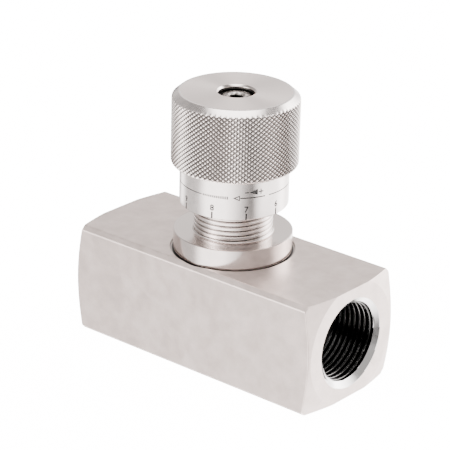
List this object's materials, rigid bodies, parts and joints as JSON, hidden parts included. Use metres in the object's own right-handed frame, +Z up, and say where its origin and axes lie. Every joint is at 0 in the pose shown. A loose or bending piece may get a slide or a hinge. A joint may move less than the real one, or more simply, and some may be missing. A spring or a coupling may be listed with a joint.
{
  "type": "flow control valve",
  "caption": "Steel bar-body flow control valve with threaded end ports and a knurled, graduated screw knob that sets the throttle, with free flow one way.",
  "frame": {"origin": "centre of the body's flat bottom face", "axes": "+X along the two ports, towards the high-passage port; +Z up the knob's axis; +Y completes the frame"},
  "size_m": [0.092, 0.04, 0.0847],
  "materials": {
    "body_steel": "satin milled bar, bright plated, faint mottle",
    "turned_steel": "bright turned, near mirror",
    "knob_steel": "bright turned, diamond knurled grip, engraved scale",
    "hardened_steel": "ground, hardened",
    "spring_steel": "drawn wire",
    "polished_steel": "polished",
    "bush_bronze": "turned bronze",
    "seal_rubber": "black nitrile",
    "seal_plastic": "white PTFE"
  },
  "bodies": {
    "valve_body": {"body_block": "body_steel", "lock_collar": "turned_steel", "cartridge_sleeve": "turned_steel", "nose_o_ring": "seal_rubber", "nose_backup_ring": "seal_plastic", "flange_o_ring": "seal_rubber", "seat_ring": "hardened_steel", "seat_snap_ring": "spring_steel", "guide_bush": "bush_bronze", "stem_o_ring": "seal_rubber", "stem_backup_ring": "seal_plastic", "gland_plug": "turned_steel", "wiper_ring": "seal_plastic", "knob_stop_ring": "spring_steel", "check_spring": "spring_steel", "return_spring": "spring_steel"},
    "check": {"check_poppet": "hardened_steel"},
    "stem": {"needle": "hardened_steel", "spring_cap": "turned_steel", "cap_clip": "spring_steel", "thrust_ball": "polished_steel"},
    "handwheel": {"knob": "knob_steel", "zero_screw": "polished_steel"}
  },
  "joints": [
    {"name": "stem_lift", "type": "slide", "parent": "valve_body", "child": "stem", "axis": [0, 0, 1], "range_m": [-0.0075, 0.0015], "deforming": ["return_spring"]},
    {"name": "knob_turn", "type": "hinge", "parent": "stem", "child": "handwheel", "pos_m": [0, 0, 0.0847], "axis": [0, 0, 1], "range_deg": [-1800, 360]},
    {"name": "check_lift", "type": "slide", "parent": "valve_body", "child": "check", "axis": [0, 0, 1], "range_m": [0, 0.004], "stiffness_N_per_m": 900, "springref_m": -0.003, "deforming": ["check_spring"]}
  ],
  "couplings": [
    {"joint": "stem_lift", "follows": "knob_turn", "m_per_rad": 0.00023873}
  ]
}
